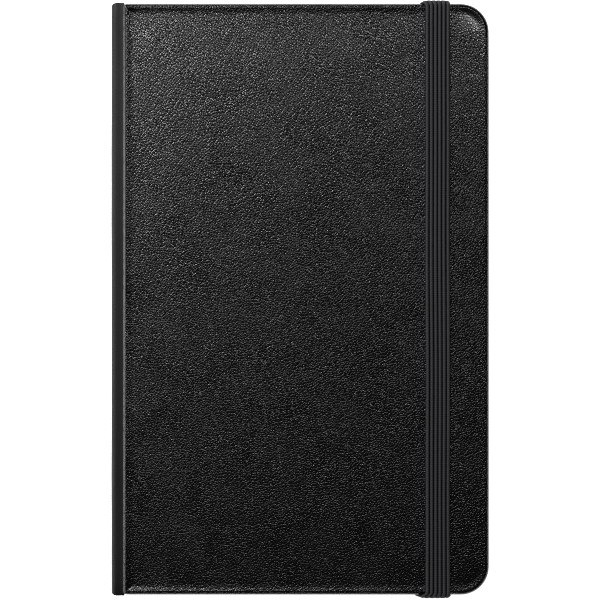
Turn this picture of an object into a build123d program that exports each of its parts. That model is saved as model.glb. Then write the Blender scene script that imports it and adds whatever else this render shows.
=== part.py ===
# Pocket notebook, case bound, with an elastic closure band.
# It lies closed on its back cover: X runs from the spine to the fore edge, Y from tail to head,
# and Z from the back cover to the front cover. It opens flat at the middle of its pages.

import os

from build123d import *

os.makedirs("parts", exist_ok=True)

# --- Overall size -------------------------------------------------------------------------------
cover_width = 89.5  # spine face to fore edge
cover_height = 140.0  # tail edge to head edge
fore_corner_radius = 6.7

# --- Cover build-up -----------------------------------------------------------------------------
leather_thickness = 0.4
board_thickness = 1.9
endpaper_thickness = 0.3  # pastedown and flyleaf, one folded sheet
turn_in_width = 9.0  # leather folded over onto the inside of the boards
turn_in_thickness = 0.2
cover_edge_round = 0.8
board_edge_round = 0.4

# --- Page block ---------------------------------------------------------------------------------
section_thickness = 1.2  # twelve leaves of 0.1
sections_per_half = 4
page_square = 3.0  # how far the covers stand past the pages
page_corner_radius = 5.0
fold_round = 0.45

# --- Spine and joints ---------------------------------------------------------------------------
joint_width = 3.1  # spine face to the spine edge of each board
joint_drop = 0.5  # how far the joint leather lies below the cover face
spine_corner_radius = 1.2
liner_thickness = 0.8
mull_thickness = 0.3
block_setback = 2.0  # spine face to the folds of the sections
mull_gap = 0.05
headband_width = 0.7
headband_rise = 1.5  # how far the bead stands past the pages
headband_depth = 3.8  # how far its backing reaches down the spine

# --- Elastic band -------------------------------------------------------------------------------
band_width = 5.9
band_thickness = 0.8
band_tail_thickness = 0.6  # pressed into its channel in the back cover
band_from_fore_edge = 12.2  # to the middle of the band
slit_from_edge = 10.0
tab_length = 9.0
rib_count = 6
rib_depth = 0.25

# --- Derived positions --------------------------------------------------------------------------
spine_x = -cover_width / 2
fore_x = cover_width / 2
head_y = cover_height / 2
cover_thickness = leather_thickness + board_thickness
block_thickness = 2 * sections_per_half * section_thickness
total_thickness = 2 * (cover_thickness + endpaper_thickness) + block_thickness
middle_z = total_thickness / 2
board_x = spine_x + joint_width
board_length = fore_x - leather_thickness - board_x
board_height = cover_height - 2 * leather_thickness
fold_x = spine_x + block_setback
page_width = fore_x - page_square - fold_x
page_height = cover_height - 2 * page_square
page_centre_x = fold_x + page_width / 2
lip_x = board_x - leather_thickness
cover_centre_x = (lip_x + fore_x) / 2
band_x = fore_x - band_from_fore_edge
slit_y = head_y - slit_from_edge
front_inner_z = total_thickness - cover_thickness
arc_x = spine_x + spine_corner_radius
arc_z = joint_drop + spine_corner_radius
rib_pitch = band_width / rib_count

# --- Elastic band, head end: from the channel through the slit to a tab glued inside ------------------
with BuildPart() as elastic_anchor_head:
    with BuildSketch(Plane.YZ.offset(band_x - band_width / 2)):
        with BuildLine():
            Polyline(
                (head_y, 0),
                (head_y, band_tail_thickness),
                (slit_y, band_tail_thickness),
                (slit_y, cover_thickness),
                (slit_y - tab_length, cover_thickness),
                (slit_y - tab_length, cover_thickness - band_tail_thickness),
                (slit_y - band_tail_thickness, cover_thickness - band_tail_thickness),
                (slit_y - band_tail_thickness, 0),
                (head_y, 0),
            )
        make_face()
    extrude(amount=band_width)

elastic_anchor_head.part.label = "elastic_anchor_head"
export_step(elastic_anchor_head.part, "parts/elastic_anchor_head.step")

# --- Elastic band, tail end -----------------------------------------------------------------------
with BuildPart() as elastic_anchor_tail:
    add(elastic_anchor_head.part.mirror(Plane.XZ))

elastic_anchor_tail.part.label = "elastic_anchor_tail"
export_step(elastic_anchor_tail.part, "parts/elastic_anchor_tail.step")

# --- Back board: card with a rebate for the turn-ins, slits and channels for the band -------------
with BuildPart() as back_board:
    with BuildSketch(Plane.XY.offset(leather_thickness)):
        with Locations((board_x + board_length / 2, 0)):
            Rectangle(board_length, board_height)
    extrude(amount=board_thickness)
    fore_corners = back_board.edges().filter_by(Axis.Z).group_by(Axis.X)[-1]
    fillet(fore_corners, radius=fore_corner_radius - leather_thickness)
    outer_edges = back_board.faces().sort_by(Axis.Z)[0].edges()
    fillet(outer_edges, radius=board_edge_round)
    with BuildSketch(Plane.XY.offset(cover_thickness - turn_in_thickness)):
        with Locations((board_x + board_length / 2, 0)):
            Rectangle(board_length, board_height)
        with Locations((board_x + (board_length - turn_in_width) / 2, 0)):
            Rectangle(
                board_length - turn_in_width,
                board_height - 2 * turn_in_width,
                mode=Mode.SUBTRACT,
            )
    extrude(amount=turn_in_thickness, mode=Mode.SUBTRACT)
    add(elastic_anchor_head.part, mode=Mode.SUBTRACT)
    add(elastic_anchor_tail.part, mode=Mode.SUBTRACT)

back_board.part.label = "back_board"
export_step(back_board.part, "parts/back_board.step")

# --- Back cover leather: face, edges and turn-ins wrapped round the board --------------------------
with BuildPart() as back_cover_leather:
    with BuildSketch():
        with Locations((cover_centre_x, 0)):
            Rectangle(fore_x - lip_x, cover_height)
    extrude(amount=cover_thickness)
    fore_corners = back_cover_leather.edges().filter_by(Axis.Z).group_by(Axis.X)[-1]
    fillet(fore_corners, radius=fore_corner_radius)
    outer_edges = back_cover_leather.faces().sort_by(Axis.Z)[0].edges()
    fillet(outer_edges, radius=cover_edge_round)
    with BuildSketch(Plane.XY.offset(cover_thickness - turn_in_thickness)):
        with Locations((lip_x + (fore_x - lip_x - turn_in_width - leather_thickness) / 2, 0)):
            Rectangle(
                fore_x - lip_x - turn_in_width - leather_thickness,
                board_height - 2 * turn_in_width,
            )
    extrude(amount=turn_in_thickness, mode=Mode.SUBTRACT)
    with BuildSketch(Plane.XY.offset(arc_z)):
        with Locations((lip_x + leather_thickness / 2, 0)):
            Rectangle(leather_thickness, cover_height)
    extrude(amount=cover_thickness, mode=Mode.SUBTRACT)
    add(back_board.part, mode=Mode.SUBTRACT)
    add(elastic_anchor_head.part, mode=Mode.SUBTRACT)
    add(elastic_anchor_tail.part, mode=Mode.SUBTRACT)

back_cover_leather.part.label = "back_cover_leather"
export_step(back_cover_leather.part, "parts/back_cover_leather.step")

# --- Back endpaper: pastedown and flyleaf --------------------------------------------------------------
with BuildPart() as back_endpaper:
    with BuildSketch(Plane.XY.offset(cover_thickness)):
        with Locations((page_centre_x, 0)):
            Rectangle(page_width, page_height)
    extrude(amount=endpaper_thickness)
    fore_corners = back_endpaper.edges().filter_by(Axis.Z).group_by(Axis.X)[-1]
    fillet(fore_corners, radius=page_corner_radius)

back_endpaper.part.label = "back_endpaper"
export_step(back_endpaper.part, "parts/back_endpaper.step")

# --- Sections 1 to 4: sewn sections that stay with the back cover --------------------------------------
with BuildPart() as section_1:
    with BuildSketch(Plane.XY.offset(cover_thickness + endpaper_thickness)):
        with Locations((page_centre_x, 0)):
            Rectangle(page_width, page_height)
    extrude(amount=section_thickness)
    fore_corners = section_1.edges().filter_by(Axis.Z).group_by(Axis.X)[-1]
    fillet(fore_corners, radius=page_corner_radius)
    fold_edges = section_1.edges().filter_by(Axis.Y).group_by(Axis.X)[0]
    fillet(fold_edges, radius=fold_round)

section_1.part.label = "section_1"
export_step(section_1.part, "parts/section_1.step")

with BuildPart() as section_2:
    add(section_1.part.moved(Location((0, 0, section_thickness))))

section_2.part.label = "section_2"
export_step(section_2.part, "parts/section_2.step")

with BuildPart() as section_3:
    add(section_1.part.moved(Location((0, 0, 2 * section_thickness))))

section_3.part.label = "section_3"
export_step(section_3.part, "parts/section_3.step")

with BuildPart() as section_4:
    add(section_1.part.moved(Location((0, 0, 3 * section_thickness))))

section_4.part.label = "section_4"
export_step(section_4.part, "parts/section_4.step")

# --- Sections 5 to 8: sewn sections that turn with the front cover -------------------------------------
with BuildPart() as section_5:
    add(section_1.part.moved(Location((0, 0, 4 * section_thickness))))

section_5.part.label = "section_5"
export_step(section_5.part, "parts/section_5.step")

with BuildPart() as section_6:
    add(section_1.part.moved(Location((0, 0, 5 * section_thickness))))

section_6.part.label = "section_6"
export_step(section_6.part, "parts/section_6.step")

with BuildPart() as section_7:
    add(section_1.part.moved(Location((0, 0, 6 * section_thickness))))

section_7.part.label = "section_7"
export_step(section_7.part, "parts/section_7.step")

with BuildPart() as section_8:
    add(section_1.part.moved(Location((0, 0, 7 * section_thickness))))

section_8.part.label = "section_8"
export_step(section_8.part, "parts/section_8.step")

# --- Front endpaper -------------------------------------------------------------------------------------
with BuildPart() as front_endpaper:
    lift = total_thickness - 2 * cover_thickness - endpaper_thickness
    add(back_endpaper.part.moved(Location((0, 0, lift))))

front_endpaper.part.label = "front_endpaper"
export_step(front_endpaper.part, "parts/front_endpaper.step")

# --- Front board ----------------------------------------------------------------------------------------
with BuildPart() as front_board:
    with BuildSketch(Plane.XY.offset(front_inner_z)):
        with Locations((board_x + board_length / 2, 0)):
            Rectangle(board_length, board_height)
    extrude(amount=board_thickness)
    fore_corners = front_board.edges().filter_by(Axis.Z).group_by(Axis.X)[-1]
    fillet(fore_corners, radius=fore_corner_radius - leather_thickness)
    outer_edges = front_board.faces().sort_by(Axis.Z)[-1].edges()
    fillet(outer_edges, radius=board_edge_round)
    with BuildSketch(Plane.XY.offset(front_inner_z)):
        with Locations((board_x + board_length / 2, 0)):
            Rectangle(board_length, board_height)
        with Locations((board_x + (board_length - turn_in_width) / 2, 0)):
            Rectangle(
                board_length - turn_in_width,
                board_height - 2 * turn_in_width,
                mode=Mode.SUBTRACT,
            )
    extrude(amount=turn_in_thickness, mode=Mode.SUBTRACT)

front_board.part.label = "front_board"
export_step(front_board.part, "parts/front_board.step")

# --- Front cover leather --------------------------------------------------------------------------------
with BuildPart() as front_cover_leather:
    with BuildSketch(Plane.XY.offset(front_inner_z)):
        with Locations((cover_centre_x, 0)):
            Rectangle(fore_x - lip_x, cover_height)
    extrude(amount=cover_thickness)
    fore_corners = front_cover_leather.edges().filter_by(Axis.Z).group_by(Axis.X)[-1]
    fillet(fore_corners, radius=fore_corner_radius)
    outer_edges = front_cover_leather.faces().sort_by(Axis.Z)[-1].edges()
    fillet(outer_edges, radius=cover_edge_round)
    with BuildSketch(Plane.XY.offset(front_inner_z)):
        with Locations((lip_x + (fore_x - lip_x - turn_in_width - leather_thickness) / 2, 0)):
            Rectangle(
                fore_x - lip_x - turn_in_width - leather_thickness,
                board_height - 2 * turn_in_width,
            )
    extrude(amount=turn_in_thickness, mode=Mode.SUBTRACT)
    with BuildSketch(Plane.XY.offset(total_thickness - arc_z)):
        with Locations((lip_x + leather_thickness / 2, 0)):
            Rectangle(leather_thickness, cover_height)
    extrude(amount=-cover_thickness, mode=Mode.SUBTRACT)
    add(front_board.part, mode=Mode.SUBTRACT)

front_cover_leather.part.label = "front_cover_leather"
export_step(front_cover_leather.part, "parts/front_cover_leather.step")

# --- Spine leather: the flat back of the case -----------------------------------------------------------
with BuildPart() as spine_leather:
    with BuildSketch(Plane.XZ.offset(-head_y)):
        with Locations((spine_x + leather_thickness / 2, middle_z)):
            Rectangle(leather_thickness, total_thickness - 2 * arc_z)
    extrude(amount=cover_height)

spine_leather.part.label = "spine_leather"
export_step(spine_leather.part, "parts/spine_leather.step")

# --- Front joint leather: rounds the spine corner and lies low beside the board --------------------------
with BuildPart() as front_joint_leather:
    with BuildSketch(Plane.XZ.offset(-head_y)):
        with BuildLine():
            outer_z = total_thickness - joint_drop
            inner_z = outer_z - leather_thickness
            inner_radius = spine_corner_radius - leather_thickness
            start_z = total_thickness - arc_z
            Line((spine_x, start_z), (spine_x + leather_thickness, start_z))
            RadiusArc(
                (spine_x + leather_thickness, start_z),
                (arc_x, inner_z),
                inner_radius,
            )
            Line((arc_x, inner_z), (lip_x, inner_z))
            Line((lip_x, inner_z), (lip_x, outer_z))
            Line((lip_x, outer_z), (arc_x, outer_z))
            RadiusArc((arc_x, outer_z), (spine_x, start_z), -spine_corner_radius)
        make_face()
    extrude(amount=cover_height)

front_joint_leather.part.label = "front_joint_leather"
export_step(front_joint_leather.part, "parts/front_joint_leather.step")

# --- Back joint leather ---------------------------------------------------------------------------------
with BuildPart() as back_joint_leather:
    add(front_joint_leather.part.mirror(Plane.XY.offset(middle_z)))

back_joint_leather.part.label = "back_joint_leather"
export_step(back_joint_leather.part, "parts/back_joint_leather.step")

# --- Spine liner: stiff card strip glued inside the spine leather ---------------------------------------
with BuildPart() as spine_liner:
    with BuildSketch(Plane.XZ.offset(-board_height / 2)):
        with Locations((spine_x + leather_thickness + liner_thickness / 2, middle_z)):
            Rectangle(liner_thickness, total_thickness - 2 * arc_z)
    extrude(amount=board_height)
    liner_edges = spine_liner.edges().filter_by(Axis.Y).group_by(Axis.X)[-1]
    fillet(liner_edges, radius=liner_thickness / 4)

spine_liner.part.label = "spine_liner"
export_step(spine_liner.part, "parts/spine_liner.step")

# --- Mull: gauze glued over the folds of the sections ----------------------------------------------------
with BuildPart() as mull:
    with BuildSketch(Plane.XZ.offset(-(page_height / 2 - 4))):
        with Locations((fold_x - mull_gap - mull_thickness / 2, middle_z)):
            Rectangle(mull_thickness, block_thickness)
    extrude(amount=page_height - 8)

mull.part.label = "mull"
export_step(mull.part, "parts/mull.step")

# --- Headband: woven bead that finishes the head of the block's back -------------------------------------
with BuildPart() as headband_head:
    with BuildSketch(Plane.XY.offset(middle_z - block_thickness / 2)):
        bead_x = fold_x - mull_gap - headband_width / 2
        bead_y = page_height / 2 + (headband_rise - headband_depth) / 2
        with Locations((bead_x, bead_y)):
            Rectangle(headband_width, headband_rise + headband_depth)
    extrude(amount=block_thickness)
    bead_edges = headband_head.edges().filter_by(Axis.Z).group_by(Axis.Y)[-1]
    fillet(bead_edges, radius=0.45 * headband_width)

headband_head.part.label = "headband_head"
export_step(headband_head.part, "parts/headband_head.step")

# --- Tail band --------------------------------------------------------------------------------------------
with BuildPart() as headband_tail:
    add(headband_head.part.mirror(Plane.XZ))

headband_tail.part.label = "headband_tail"
export_step(headband_tail.part, "parts/headband_tail.step")

# --- Elastic band: the ribbed length across the front cover ------------------------------------------------
with BuildPart() as elastic_band:
    with BuildSketch(Plane.XZ.offset(-(head_y + band_thickness))):
        with Locations((band_x, total_thickness + band_thickness / 2)):
            Rectangle(band_width, band_thickness)
    extrude(amount=cover_height + 2 * band_thickness)
    with BuildSketch(Plane.XZ.offset(-(head_y + band_thickness))):
        groove_count = rib_count - 1
        with Locations((band_x, total_thickness + band_thickness)):
            with GridLocations(rib_pitch, 1, groove_count, 1):
                Rectangle(rib_depth, 2 * rib_depth)
    extrude(amount=cover_height + 2 * band_thickness, mode=Mode.SUBTRACT)

elastic_band.part.label = "elastic_band"
export_step(elastic_band.part, "parts/elastic_band.step")

# --- Elastic band, head turn: down the head edges of the covers --------------------------------------------
with BuildPart() as elastic_turn_head:
    with BuildSketch():
        with Locations((band_x, head_y + band_thickness / 2)):
            Rectangle(band_width, band_thickness)
    extrude(amount=total_thickness)

elastic_turn_head.part.label = "elastic_turn_head"
export_step(elastic_turn_head.part, "parts/elastic_turn_head.step")

# --- Elastic band, tail turn ----------------------------------------------------------------------------------
with BuildPart() as elastic_turn_tail:
    add(elastic_turn_head.part.mirror(Plane.XZ))

elastic_turn_tail.part.label = "elastic_turn_tail"
export_step(elastic_turn_tail.part, "parts/elastic_turn_tail.step")
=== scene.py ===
# Pocket notebook: black pebbled cover, sewn page block and a ribbed elastic band, built round its CAD frame.
import math

import bmesh
import bpy
import numpy as np
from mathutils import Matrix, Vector


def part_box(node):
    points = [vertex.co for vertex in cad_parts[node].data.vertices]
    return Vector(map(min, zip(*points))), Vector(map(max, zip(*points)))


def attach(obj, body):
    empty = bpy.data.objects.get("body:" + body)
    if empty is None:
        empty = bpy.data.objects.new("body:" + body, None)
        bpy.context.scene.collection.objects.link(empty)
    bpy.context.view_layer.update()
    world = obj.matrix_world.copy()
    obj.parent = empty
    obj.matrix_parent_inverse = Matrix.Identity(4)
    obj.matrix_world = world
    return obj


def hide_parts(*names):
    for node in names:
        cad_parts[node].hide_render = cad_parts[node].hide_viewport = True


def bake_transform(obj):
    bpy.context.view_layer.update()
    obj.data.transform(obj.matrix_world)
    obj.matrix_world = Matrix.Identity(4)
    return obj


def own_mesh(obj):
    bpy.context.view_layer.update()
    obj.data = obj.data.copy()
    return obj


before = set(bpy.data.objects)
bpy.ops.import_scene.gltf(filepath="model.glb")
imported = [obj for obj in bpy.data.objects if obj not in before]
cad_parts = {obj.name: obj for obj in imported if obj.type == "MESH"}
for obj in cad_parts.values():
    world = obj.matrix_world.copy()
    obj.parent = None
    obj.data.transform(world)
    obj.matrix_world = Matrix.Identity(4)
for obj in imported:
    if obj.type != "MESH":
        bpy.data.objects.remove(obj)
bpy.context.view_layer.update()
mm = 0.001

# Where things are, all read from the frame.
coverLow, coverHigh = (np.array(c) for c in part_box("front_cover_leather"))
bandLow, bandHigh = (np.array(c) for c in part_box("elastic_band"))
topZ = coverHigh[2]
middleZ = topZ / 2
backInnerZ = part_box("back_cover_leather")[1][2]
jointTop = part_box("front_joint_leather")[1][2]
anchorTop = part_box("elastic_anchor_head")[1][2]
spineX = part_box("spine_leather")[0][0]
foreX = coverHigh[0]
lipX = coverLow[0]
headY = coverHigh[1]
bandX = (bandLow[0] + bandHigh[0]) / 2
bandWide = bandHigh[0] - bandLow[0]
bandThick = bandHigh[2] - bandLow[2]


# Mesh helpers.
def makePiece(name, points, faces, material, smooth=True, uv=None, sharpEnds=True):
    # One mesh object at the origin from arrays of points and faces, with a UV for each point if given.
    # With sharpEnds, faces of more than four corners are end caps: flat and sharp edged, so that the sides
    # shade level up to them.
    mesh = bpy.data.meshes.new(name)
    mesh.from_pydata(points.tolist(), [], faces)
    mesh.update()
    corners = np.zeros(len(mesh.polygons), np.int32)
    mesh.polygons.foreach_get("loop_total", corners)
    mesh.polygons.foreach_set("use_smooth", ((corners < 5) | (not sharpEnds)) & smooth)
    if sharpEnds:
        edges = np.zeros(len(mesh.loops), np.int32)
        mesh.loops.foreach_get("edge_index", edges)
        sharp = np.zeros(len(mesh.edges), bool)
        sharp[edges[np.repeat(corners > 4, corners)]] = True
        mesh.edges.foreach_set("use_edge_sharp", sharp)
    if uv is not None:
        loops = np.zeros(len(mesh.loops), np.int32)
        mesh.loops.foreach_get("vertex_index", loops)
        layer = mesh.uv_layers.new(name="UVMap")
        layer.data.foreach_set("uv", np.asarray(uv, np.float32)[loops].ravel())
    mesh.materials.append(material)
    piece = bpy.data.objects.new(name, mesh)
    bpy.context.scene.collection.objects.link(piece)
    return piece


def addValues(piece, name, values):
    # Keeps one number for each point under a name that a material can read.
    attribute = piece.data.attributes.new(name, "FLOAT", "POINT")
    attribute.data.foreach_set("value", values.astype(np.float32))


def gridFaces(rows, columns, closeRows=False, closeColumns=False, start=0, flip=False):
    # Quads of a grid of rows x columns points; either direction may close on itself.
    i = np.arange(rows if closeRows else rows - 1)[:, None]
    j = np.arange(columns if closeColumns else columns - 1)[None, :]
    a = i * columns + j
    b = i * columns + (j + 1) % columns
    c = ((i + 1) % rows) * columns + (j + 1) % columns
    d = ((i + 1) % rows) * columns + j
    quads = np.stack([a, b, c, d], -1).reshape(-1, 4) + start
    return (quads[:, ::-1] if flip else quads).tolist()


def faceOut(piece):
    # Turns every face of a closed mesh outwards.
    work = bmesh.new()
    work.from_mesh(piece.data)
    bmesh.ops.recalc_face_normals(work, faces=work.faces)
    work.to_mesh(piece.data)
    work.free()
    return piece


def smoothRamp(value, low, high):
    # 0 below low, 1 above high, and a smooth S between them.
    t = np.clip((value - low) / (high - low), 0, 1)
    return t * t * (3 - 2 * t)


def waves(x, y, seed, size, count=7):
    # Sum of sine waves in random directions, about 1 high, with wavelengths near size: soft unevenness.
    draw = np.random.default_rng(seed)
    total = np.zeros(np.broadcast(x, y).shape)
    for _ in range(count):
        angle, phase = draw.uniform(0, 2 * math.pi, 2)
        length = size * draw.uniform(0.7, 1.5)
        total += np.sin((x * math.cos(angle) + y * math.sin(angle)) * 2 * math.pi / length + phase)
    return total / math.sqrt(count)


# Shader helpers.
def addNode(tree, kind, **values):
    # A new node with some of its settings.
    node = tree.nodes.new(kind)
    for key, value in values.items():
        setattr(node, key, value)
    return node


def feed(tree, socket, source):
    # Joins a socket to another, or gives it a plain value.
    if isinstance(source, bpy.types.NodeSocket):
        tree.links.new(source, socket)
    else:
        socket.default_value = source


def mathNode(tree, operation, first, second=0.0, clamp=False):
    # first (operation) second, kept within 0 and 1 if clamp is set.
    node = addNode(tree, "ShaderNodeMath", operation=operation, use_clamp=clamp)
    feed(tree, node.inputs[0], first)
    feed(tree, node.inputs[1], second)
    return node.outputs[0]


def mixColour(tree, factor, first, second):
    # first x (1 - factor) + second x factor.
    node = addNode(tree, "ShaderNodeMix", data_type="RGBA", blend_type="MIX")
    feed(tree, node.inputs[0], factor)
    feed(tree, node.inputs[6], first)
    feed(tree, node.inputs[7], second)
    return node.outputs[2]


def rangeNode(tree, value, low, high, newLow=0.0, newHigh=1.0, smooth=True):
    # Takes low..high to newLow..newHigh, in a smooth S or a straight line, and stops at both ends.
    node = addNode(tree, "ShaderNodeMapRange", interpolation_type="SMOOTHSTEP" if smooth else "LINEAR")
    for socket, number in zip(node.inputs, (value, low, high, newLow, newHigh)):
        feed(tree, socket, number)
    return node.outputs[0]


def noiseNode(tree, vector, scale, detail=2.0, roughness=0.5, distortion=0.0, flat=False):
    # Noise about 0.5 over a place vector; flat reads only its first two parts.
    node = addNode(tree, "ShaderNodeTexNoise", noise_dimensions="2D" if flat else "3D")
    feed(tree, node.inputs["Vector"], vector)
    feed(tree, node.inputs["Scale"], scale)
    node.inputs["Detail"].default_value = detail
    node.inputs["Roughness"].default_value = roughness
    node.inputs["Distortion"].default_value = distortion
    return node.outputs["Fac"]


def startGroup(name, inputs, outputs):
    # A node group with its sockets: inputs and outputs are lists of (name, kind, value).
    group = bpy.data.node_groups.new(name, "ShaderNodeTree")
    for label, kind, value in inputs:
        socket = group.interface.new_socket(name=label, in_out="INPUT", socket_type=kind)
        if value is not None:
            socket.default_value = value
    for label, kind in outputs:
        group.interface.new_socket(name=label, in_out="OUTPUT", socket_type=kind)
    return group, group.nodes.new("NodeGroupInput"), group.nodes.new("NodeGroupOutput")


def placeGroup(tree, group, **values):
    # Puts a group in a material; each keyword names an input, with its spaces left out.
    node = tree.nodes.new("ShaderNodeGroup")
    node.node_tree = group
    for socket in node.inputs:
        key = socket.name.replace(" ", "")
        if key in values:
            feed(tree, socket, values[key])
    return node


def startMaterial(name):
    # A material with one Principled shader joined to its output.
    material = bpy.data.materials.new(name)
    material.use_nodes = True
    tree = material.node_tree
    tree.nodes.clear()
    shader = tree.nodes.new("ShaderNodeBsdfPrincipled")
    output = tree.nodes.new("ShaderNodeOutputMaterial")
    tree.links.new(shader.outputs[0], output.inputs[0])
    return material, tree, shader


def bumpNode(tree, height, strength, distance):
    # Tilts the normal by the slope of height x distance.
    node = tree.nodes.new("ShaderNodeBump")
    node.inputs["Strength"].default_value = strength
    node.inputs["Distance"].default_value = distance
    tree.links.new(height, node.inputs["Height"])
    return node.outputs["Normal"]


def darker(colour, share):
    # The colour times share, with full alpha.
    return tuple(c * share for c in colour[:3]) + (1,)


vectorKind, floatKind = "NodeSocketVector", "NodeSocketFloat"


def pebbleGroup():
    # Pebbled grain: cells of a warped Voronoi pattern, each a low dome with a groove round it.
    # Height = 0.4 x (edge distance rising to full) + 0.6 x (1 - centre distance squared). A slow drift
    # closes some grooves up. Pits is the part that lies down in the grooves: the leather darkens it with
    # painted shade and makes it rougher.
    group, given, result = startGroup(
        "pebbleGrain",
        [("Place", vectorKind, None), ("Size", floatKind, 170.0), ("Groove", floatKind, 0.3),
         ("Warp", floatKind, 0.5)],
        [("Height", floatKind), ("Pits", floatKind), ("Drift", floatKind)],
    )
    tree = group
    place = addNode(tree, "ShaderNodeMapping", vector_type="POINT")
    tree.links.new(given.outputs["Place"], place.inputs["Vector"])
    place.inputs["Rotation"].default_value = (0, 0, 0.62)
    warpSize = mathNode(tree, "MULTIPLY", given.outputs["Size"], 0.8)
    warp = addNode(tree, "ShaderNodeTexNoise", noise_dimensions="2D")
    tree.links.new(place.outputs[0], warp.inputs["Vector"])
    tree.links.new(warpSize, warp.inputs["Scale"])
    warp.inputs["Detail"].default_value = 1.0
    centred = addNode(tree, "ShaderNodeVectorMath", operation="SUBTRACT")
    tree.links.new(warp.outputs["Color"], centred.inputs[0])
    centred.inputs[1].default_value = (0.5, 0.5, 0.5)
    reach = mathNode(tree, "DIVIDE", given.outputs["Warp"], given.outputs["Size"])
    scaled = addNode(tree, "ShaderNodeVectorMath", operation="SCALE")
    tree.links.new(centred.outputs[0], scaled.inputs[0])
    tree.links.new(reach, scaled.inputs["Scale"])
    moved = addNode(tree, "ShaderNodeVectorMath", operation="ADD")
    tree.links.new(place.outputs[0], moved.inputs[0])
    tree.links.new(scaled.outputs[0], moved.inputs[1])
    edge = addNode(tree, "ShaderNodeTexVoronoi", voronoi_dimensions="2D", feature="DISTANCE_TO_EDGE")
    centre = addNode(tree, "ShaderNodeTexVoronoi", voronoi_dimensions="2D", feature="F1")
    for cells in (edge, centre):
        tree.links.new(moved.outputs[0], cells.inputs["Vector"])
        tree.links.new(given.outputs["Size"], cells.inputs["Scale"])
    slowSize = mathNode(tree, "MULTIPLY", given.outputs["Size"], 0.12)
    slow = noiseNode(tree, place.outputs[0], slowSize, 2.0, 0.6, 0.0, flat=True)
    shift = rangeNode(tree, slow, 0.3, 0.7, -0.05, 0.07, smooth=False)
    reached = mathNode(tree, "ADD", edge.outputs["Distance"], shift)
    rise = rangeNode(tree, reached, 0.0, given.outputs["Groove"])
    dome = mathNode(tree, "SUBTRACT", 1.0, mathNode(tree, "POWER", centre.outputs["Distance"], 2.0), True)
    risePart, domePart = mathNode(tree, "MULTIPLY", rise, 0.4), mathNode(tree, "MULTIPLY", dome, 0.6)
    height = mathNode(tree, "ADD", risePart, domePart)
    tree.links.new(height, result.inputs["Height"])
    tree.links.new(rangeNode(tree, rise, 0.75, 0.1), result.inputs["Pits"])
    tree.links.new(slow, result.inputs["Drift"])
    return group


def fibreGroup():
    # Paper and card: a cloudy look and fine fibre flecks on one place vector.
    group, given, result = startGroup(
        "fibreCloud",
        [("Place", vectorKind, None), ("Size", floatKind, 900.0)],
        [("Cloud", floatKind), ("Fleck", floatKind)],
    )
    tree = group
    slowSize = mathNode(tree, "MULTIPLY", given.outputs["Size"], 0.08)
    tree.links.new(noiseNode(tree, given.outputs["Place"], slowSize, 3.0, 0.6), result.inputs["Cloud"])
    fine = noiseNode(tree, given.outputs["Place"], given.outputs["Size"], 3.0, 0.7, 0.6)
    tree.links.new(fine, result.inputs["Fleck"])
    return group


def stitchGroup():
    # Woven rows: bars across the strip and threads along it, from sines of the two parts of a UV.
    # Height = 0.65 x bars + 0.35 x threads; a slow wobble keeps the bars from being quite even.
    group, given, result = startGroup(
        "stitchRows",
        [("Place", vectorKind, None), ("Across", floatKind, 60.0), ("Along", floatKind, 300.0)],
        [("Height", floatKind), ("Bars", floatKind)],
    )
    tree = group
    parts = tree.nodes.new("ShaderNodeSeparateXYZ")
    tree.links.new(given.outputs["Place"], parts.inputs[0])
    wobble = noiseNode(tree, given.outputs["Place"], 55.0, 2.0, 0.6)
    alongPlace = mathNode(tree, "ADD", parts.outputs[1], mathNode(tree, "MULTIPLY", wobble, 0.002))
    along = mathNode(tree, "SINE", mathNode(tree, "MULTIPLY", alongPlace, given.outputs["Along"]))
    across = mathNode(tree, "SINE", mathNode(tree, "MULTIPLY", parts.outputs[0], given.outputs["Across"]))
    bars = rangeNode(tree, along, -1.0, 0.9)
    threads = rangeNode(tree, across, -1.0, 1.0)
    barPart, threadPart = mathNode(tree, "MULTIPLY", bars, 0.65), mathNode(tree, "MULTIPLY", threads, 0.35)
    height = mathNode(tree, "ADD", barPart, threadPart)
    tree.links.new(height, result.inputs["Height"])
    tree.links.new(bars, result.inputs["Bars"])
    return group


pebbleGrain, fibreCloud, stitchRows = pebbleGroup(), fibreGroup(), stitchGroup()
perTurn = 2 * math.pi * 100  # a UV unit is 100 mm, so the sine of UV x perTurn / pitch repeats each pitch mm
print("node groups made")

# Materials.
leatherLook = {
    "grainSize": 185.0,  # pebbles per 100 mm of surface
    "groove": 0.34,  # width of the grooves, in pebbles
    "warp": 0.55,  # how far the pattern is bent, in pebbles
    "pebbleColour": (0.003, 0.0032, 0.0034, 1),
    # painted shade: the colour the grooves between the pebbles are darkened to
    "pitColour": (0.0006, 0.0006, 0.0007, 1),
    # painted highlight: the paler colour laid along the board's lip
    "wornColour": (0.095, 0.097, 0.1, 1),
    "roughness": 0.19,
    "grainDepth": 0.078,  # mm
    "specular": 0.5,
    "tightGrain": 0.2,  # part of the grain's depth left where the cloth is drawn tight
}


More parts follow.
